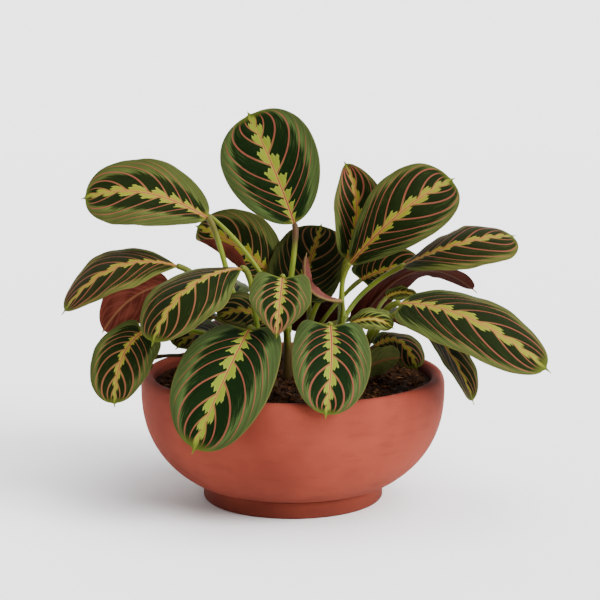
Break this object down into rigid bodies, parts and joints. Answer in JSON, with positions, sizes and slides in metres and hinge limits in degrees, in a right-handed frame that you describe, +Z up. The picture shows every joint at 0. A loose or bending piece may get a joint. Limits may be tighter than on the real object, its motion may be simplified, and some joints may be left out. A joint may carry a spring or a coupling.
{
  "type": "potted prayer plant",
  "caption": "Prayer plant with broad herringbone-patterned leaves on arching stalks, growing in soil in a low round clay bowl on a foot ring.",
  "frame": {"origin": "middle of the flat foot that the bowl stands on", "axes": "+Z up; -Y towards the front, where the long leaves droop over the rim; +X to the right as seen from the front, along the plant's greatest spread"},
  "size_m": [0.3397, 0.2494, 0.2802],
  "materials": {
    "clay": "matte",
    "soil": "matte",
    "stalk": "satin",
    "leaf": "satin"
  },
  "bodies": {
    "root": {"bowl": "clay", "leaf_back_left": "leaf", "leaf_back_left_low": "leaf", "leaf_back_low": "leaf", "leaf_back_middle": "leaf", "leaf_back_right_high": "leaf", "leaf_back_right_low": "leaf", "leaf_centre_back": "leaf", "leaf_centre_left": "leaf", "leaf_centre_small": "leaf", "leaf_front_centre": "leaf", "leaf_front_left": "leaf", "leaf_inner_left": "leaf", "leaf_inner_low_left": "leaf", "leaf_left_back": "leaf", "leaf_left_under": "leaf", "leaf_low_left": "leaf", "leaf_low_right": "leaf", "leaf_mid_left": "leaf", "leaf_right_behind": "leaf", "leaf_right_front": "leaf", "leaf_right_inner": "leaf", "leaf_right_level": "leaf", "leaf_right_rim": "leaf", "leaf_right_small": "leaf", "leaf_right_under": "leaf", "leaf_small_light": "leaf", "leaf_top_centre": "leaf", "leaf_upper_left": "leaf", "leaf_upper_left_back": "leaf", "leaf_upper_right": "leaf", "leaf_upper_right_back": "leaf", "leaf_young": "leaf", "soil": "soil", "stem_back": "stalk", "stem_back_left": "stalk", "stem_front": "stalk", "stem_front_left": "stalk", "stem_left": "stalk", "stem_middle": "stalk", "stem_right": "stalk", "stem_right_front": "stalk", "leaf_left_hidden": "leaf"}
  },
  "joints": []
}
